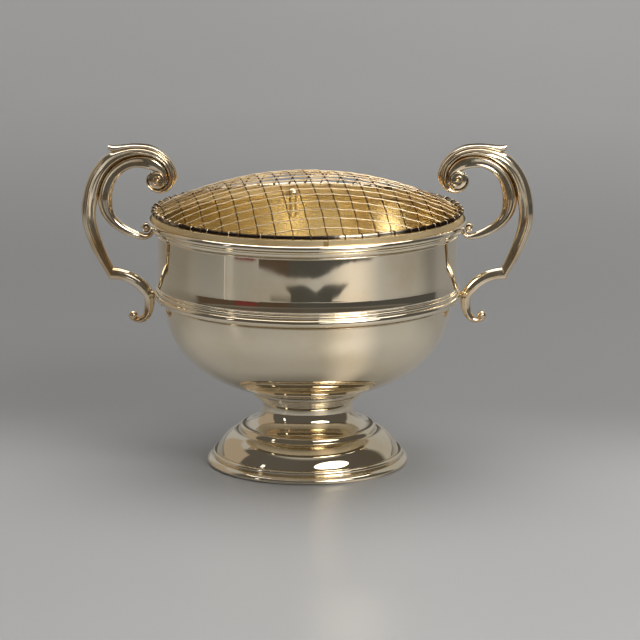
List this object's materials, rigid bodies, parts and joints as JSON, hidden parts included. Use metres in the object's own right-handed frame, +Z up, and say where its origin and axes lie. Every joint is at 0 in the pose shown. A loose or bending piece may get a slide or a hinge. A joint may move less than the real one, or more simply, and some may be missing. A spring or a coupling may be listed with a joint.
{
  "type": "footed rose bowl with grille",
  "caption": "Round two-handled bowl on a stepped, flared foot, with moulded girdle and rim, scroll handles and a lift-off domed wire-mesh grille for holding flower stems.",
  "frame": {"origin": "centre of the circle that the foot rests on", "axes": "+Z up along the axis that the bowl is turned about; +X from the middle to the right-hand handle; +Y to the back"},
  "size_m": [0.283, 0.2, 0.203],
  "materials": {
    "polished_silver": "polished, lightly tarnished",
    "cast_silver": "polished casting, warm tarnish",
    "gilt_wire": "gilt, satin"
  },
  "bodies": {
    "vessel": {"foot_ring": "polished_silver", "foot": "polished_silver", "calyx": "polished_silver", "bowl": "polished_silver", "girdle": "polished_silver", "rim": "polished_silver", "handle_left_strap": "cast_silver", "handle_left_scroll": "cast_silver", "handle_left_foot_scroll": "cast_silver", "handle_right_strap": "cast_silver", "handle_right_scroll": "cast_silver", "handle_right_foot_scroll": "cast_silver"},
    "grille": {"grille_collar": "gilt_wire", "grille_ring_wire": "gilt_wire", "grille_tab_back": "gilt_wire", "grille_tab_front": "gilt_wire", "grille_wire_long_01": "gilt_wire", "grille_wire_long_02": "gilt_wire", "grille_wire_long_03": "gilt_wire", "grille_wire_long_04": "gilt_wire", "grille_wire_long_05": "gilt_wire", "grille_wire_long_06": "gilt_wire", "grille_wire_long_07": "gilt_wire", "grille_wire_long_08": "gilt_wire", "grille_wire_long_09": "gilt_wire", "grille_wire_long_10": "gilt_wire", "grille_wire_long_11": "gilt_wire", "grille_wire_long_12": "gilt_wire", "grille_wire_long_13": "gilt_wire", "grille_wire_long_14": "gilt_wire", "grille_wire_long_15": "gilt_wire", "grille_wire_long_16": "gilt_wire", "grille_wire_long_17": "gilt_wire", "grille_wire_long_18": "gilt_wire", "grille_wire_cross_01": "gilt_wire", "grille_wire_cross_02": "gilt_wire", "grille_wire_cross_03": "gilt_wire", "grille_wire_cross_04": "gilt_wire", "grille_wire_cross_05": "gilt_wire", "grille_wire_cross_06": "gilt_wire", "grille_wire_cross_07": "gilt_wire", "grille_wire_cross_08": "gilt_wire", "grille_wire_cross_09": "gilt_wire", "grille_wire_cross_10": "gilt_wire", "grille_wire_cross_11": "gilt_wire", "grille_wire_cross_12": "gilt_wire", "grille_wire_cross_13": "gilt_wire", "grille_wire_cross_14": "gilt_wire", "grille_wire_cross_15": "gilt_wire", "grille_wire_cross_16": "gilt_wire", "grille_wire_cross_17": "gilt_wire", "grille_wire_cross_18": "gilt_wire", "grille_wire_cross_19": "gilt_wire"}
  },
  "joints": [
    {"name": "grille_lift", "type": "slide", "parent": "vessel", "child": "grille", "axis": [0, 0, 1], "range_m": [0, 0.006]}
  ]
}
